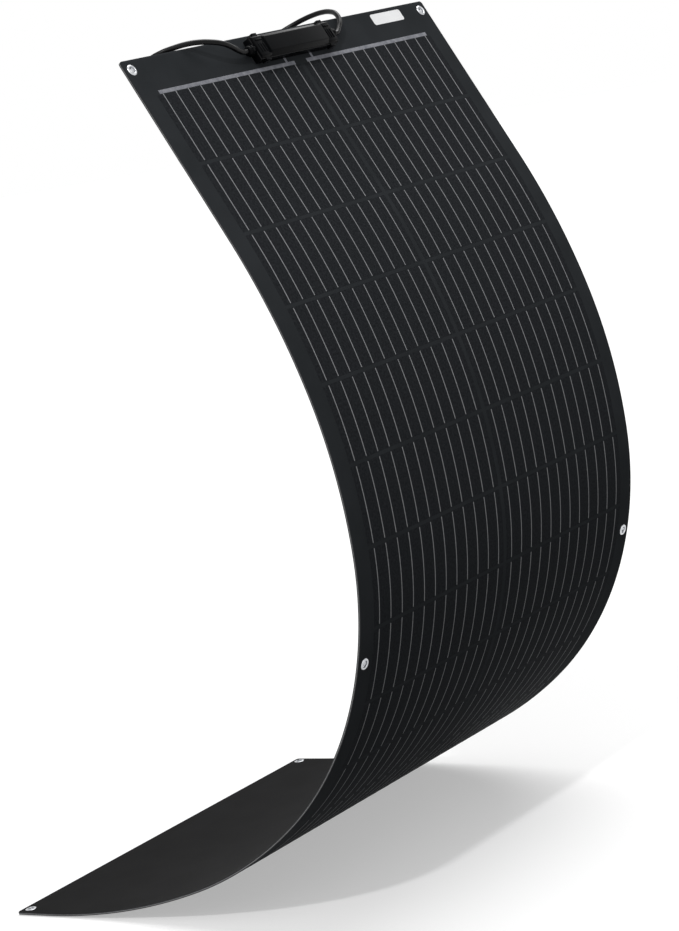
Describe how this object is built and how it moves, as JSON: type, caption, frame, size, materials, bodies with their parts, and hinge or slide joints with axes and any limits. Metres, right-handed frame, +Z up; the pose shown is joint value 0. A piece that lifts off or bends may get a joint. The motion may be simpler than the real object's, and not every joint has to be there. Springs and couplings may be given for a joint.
{
  "type": "flexible solar sheet",
  "caption": "Thin flexible solar sheet standing in a tall curve, with dark cells in two columns, metal eyelets, a low junction box at the head and two cords with plugs.",
  "frame": {"origin": "midway between the two foot eyelets, at mid thickness of the sheet", "axes": "+X along the cell rows, +Y towards the foot edge, +Z up"},
  "size_m": [0.465, 0.5051, 0.8015],
  "materials": {
    "backing": "dark grey laminate backing, fine grain, low sheen",
    "cells": "near-black silicon with a fine dimpled texture",
    "wires": "fine tinned collector wires",
    "film": "clear textured film, soft sheen",
    "ribbon": "tinned copper ribbon",
    "eyelets": "bright plated",
    "label": "blank white sticker",
    "seal": "matt black",
    "box": "moulded black, fine grain",
    "brass": "plain",
    "diode": "moulded",
    "cord": "smooth glossy jacket",
    "strap": "woven hook strap",
    "connector": "moulded black"
  },
  "bodies": {
    "field_1": {"back_sheet_1": "backing", "cells_1": "cells", "wires_1": "wires", "front_film_1": "film", "foot_ribbon": "ribbon", "foot_eyelets": "eyelets", "foot_washers": "eyelets"},
    "field_2": {"back_sheet_2": "backing", "cells_2": "cells", "wires_2": "wires", "front_film_2": "film"},
    "field_3": {"back_sheet_3": "backing", "cells_3": "cells", "wires_3": "wires", "front_film_3": "film"},
    "field_4": {"back_sheet_4": "backing", "cells_4": "cells", "wires_4": "wires", "front_film_4": "film", "mid_eyelets": "eyelets", "mid_washers": "eyelets"},
    "field_5": {"back_sheet_5": "backing", "cells_5": "cells", "wires_5": "wires", "front_film_5": "film"},
    "field_6": {"back_sheet_6": "backing", "cells_6": "cells", "wires_6": "wires", "front_film_6": "film"},
    "field_7": {"back_sheet_7": "backing", "cells_7": "cells", "wires_7": "wires", "front_film_7": "film", "head_ribbon_left": "ribbon", "head_ribbon_right": "ribbon", "lead_tabs": "ribbon", "head_eyelets": "eyelets", "head_washers": "eyelets", "label": "label", "box_pad": "seal", "box_base": "box", "box_seal": "seal", "box_lid": "box", "terminal_left": "brass", "terminal_right": "brass", "bypass_diode": "diode", "cord_tails": "cord", "gland_seals": "seal", "gland_nut_left": "box", "gland_nut_right": "box", "cord_left": "cord", "cord_right": "cord", "coil_left": "cord", "coil_right": "cord", "coil_tie": "strap", "plug_body": "connector", "plug_nut": "connector", "socket_body": "connector", "socket_nut": "connector"}
  },
  "joints": [
    {"name": "bend_1", "type": "hinge", "parent": "field_1", "child": "field_2", "pos_m": [0, -0.22958, 0.02769], "axis": [-1, 0, 0], "range_deg": [-18, 15.5]},
    {"name": "bend_2", "type": "hinge", "parent": "field_2", "child": "field_3", "pos_m": [0, -0.36027, 0.09214], "axis": [-1, 0, 0], "range_deg": [-22.75, 10.75]},
    {"name": "bend_3", "type": "hinge", "parent": "field_3", "child": "field_4", "pos_m": [0, -0.4556, 0.20181], "axis": [-1, 0, 0], "range_deg": [-25.5, 8]},
    {"name": "bend_4", "type": "hinge", "parent": "field_4", "child": "field_5", "pos_m": [0, -0.49445, 0.3419], "axis": [-1, 0, 0], "range_deg": [-20.75, 12.75]},
    {"name": "bend_5", "type": "hinge", "parent": "field_5", "child": "field_6", "pos_m": [0, -0.48111, 0.48715], "axis": [-1, 0, 0], "range_deg": [-14.5, 19]},
    {"name": "bend_6", "type": "hinge", "parent": "field_6", "child": "field_7", "pos_m": [0, -0.43178, 0.62454], "axis": [-1, 0, 0], "range_deg": [-6.25, 27.25]}
  ]
}
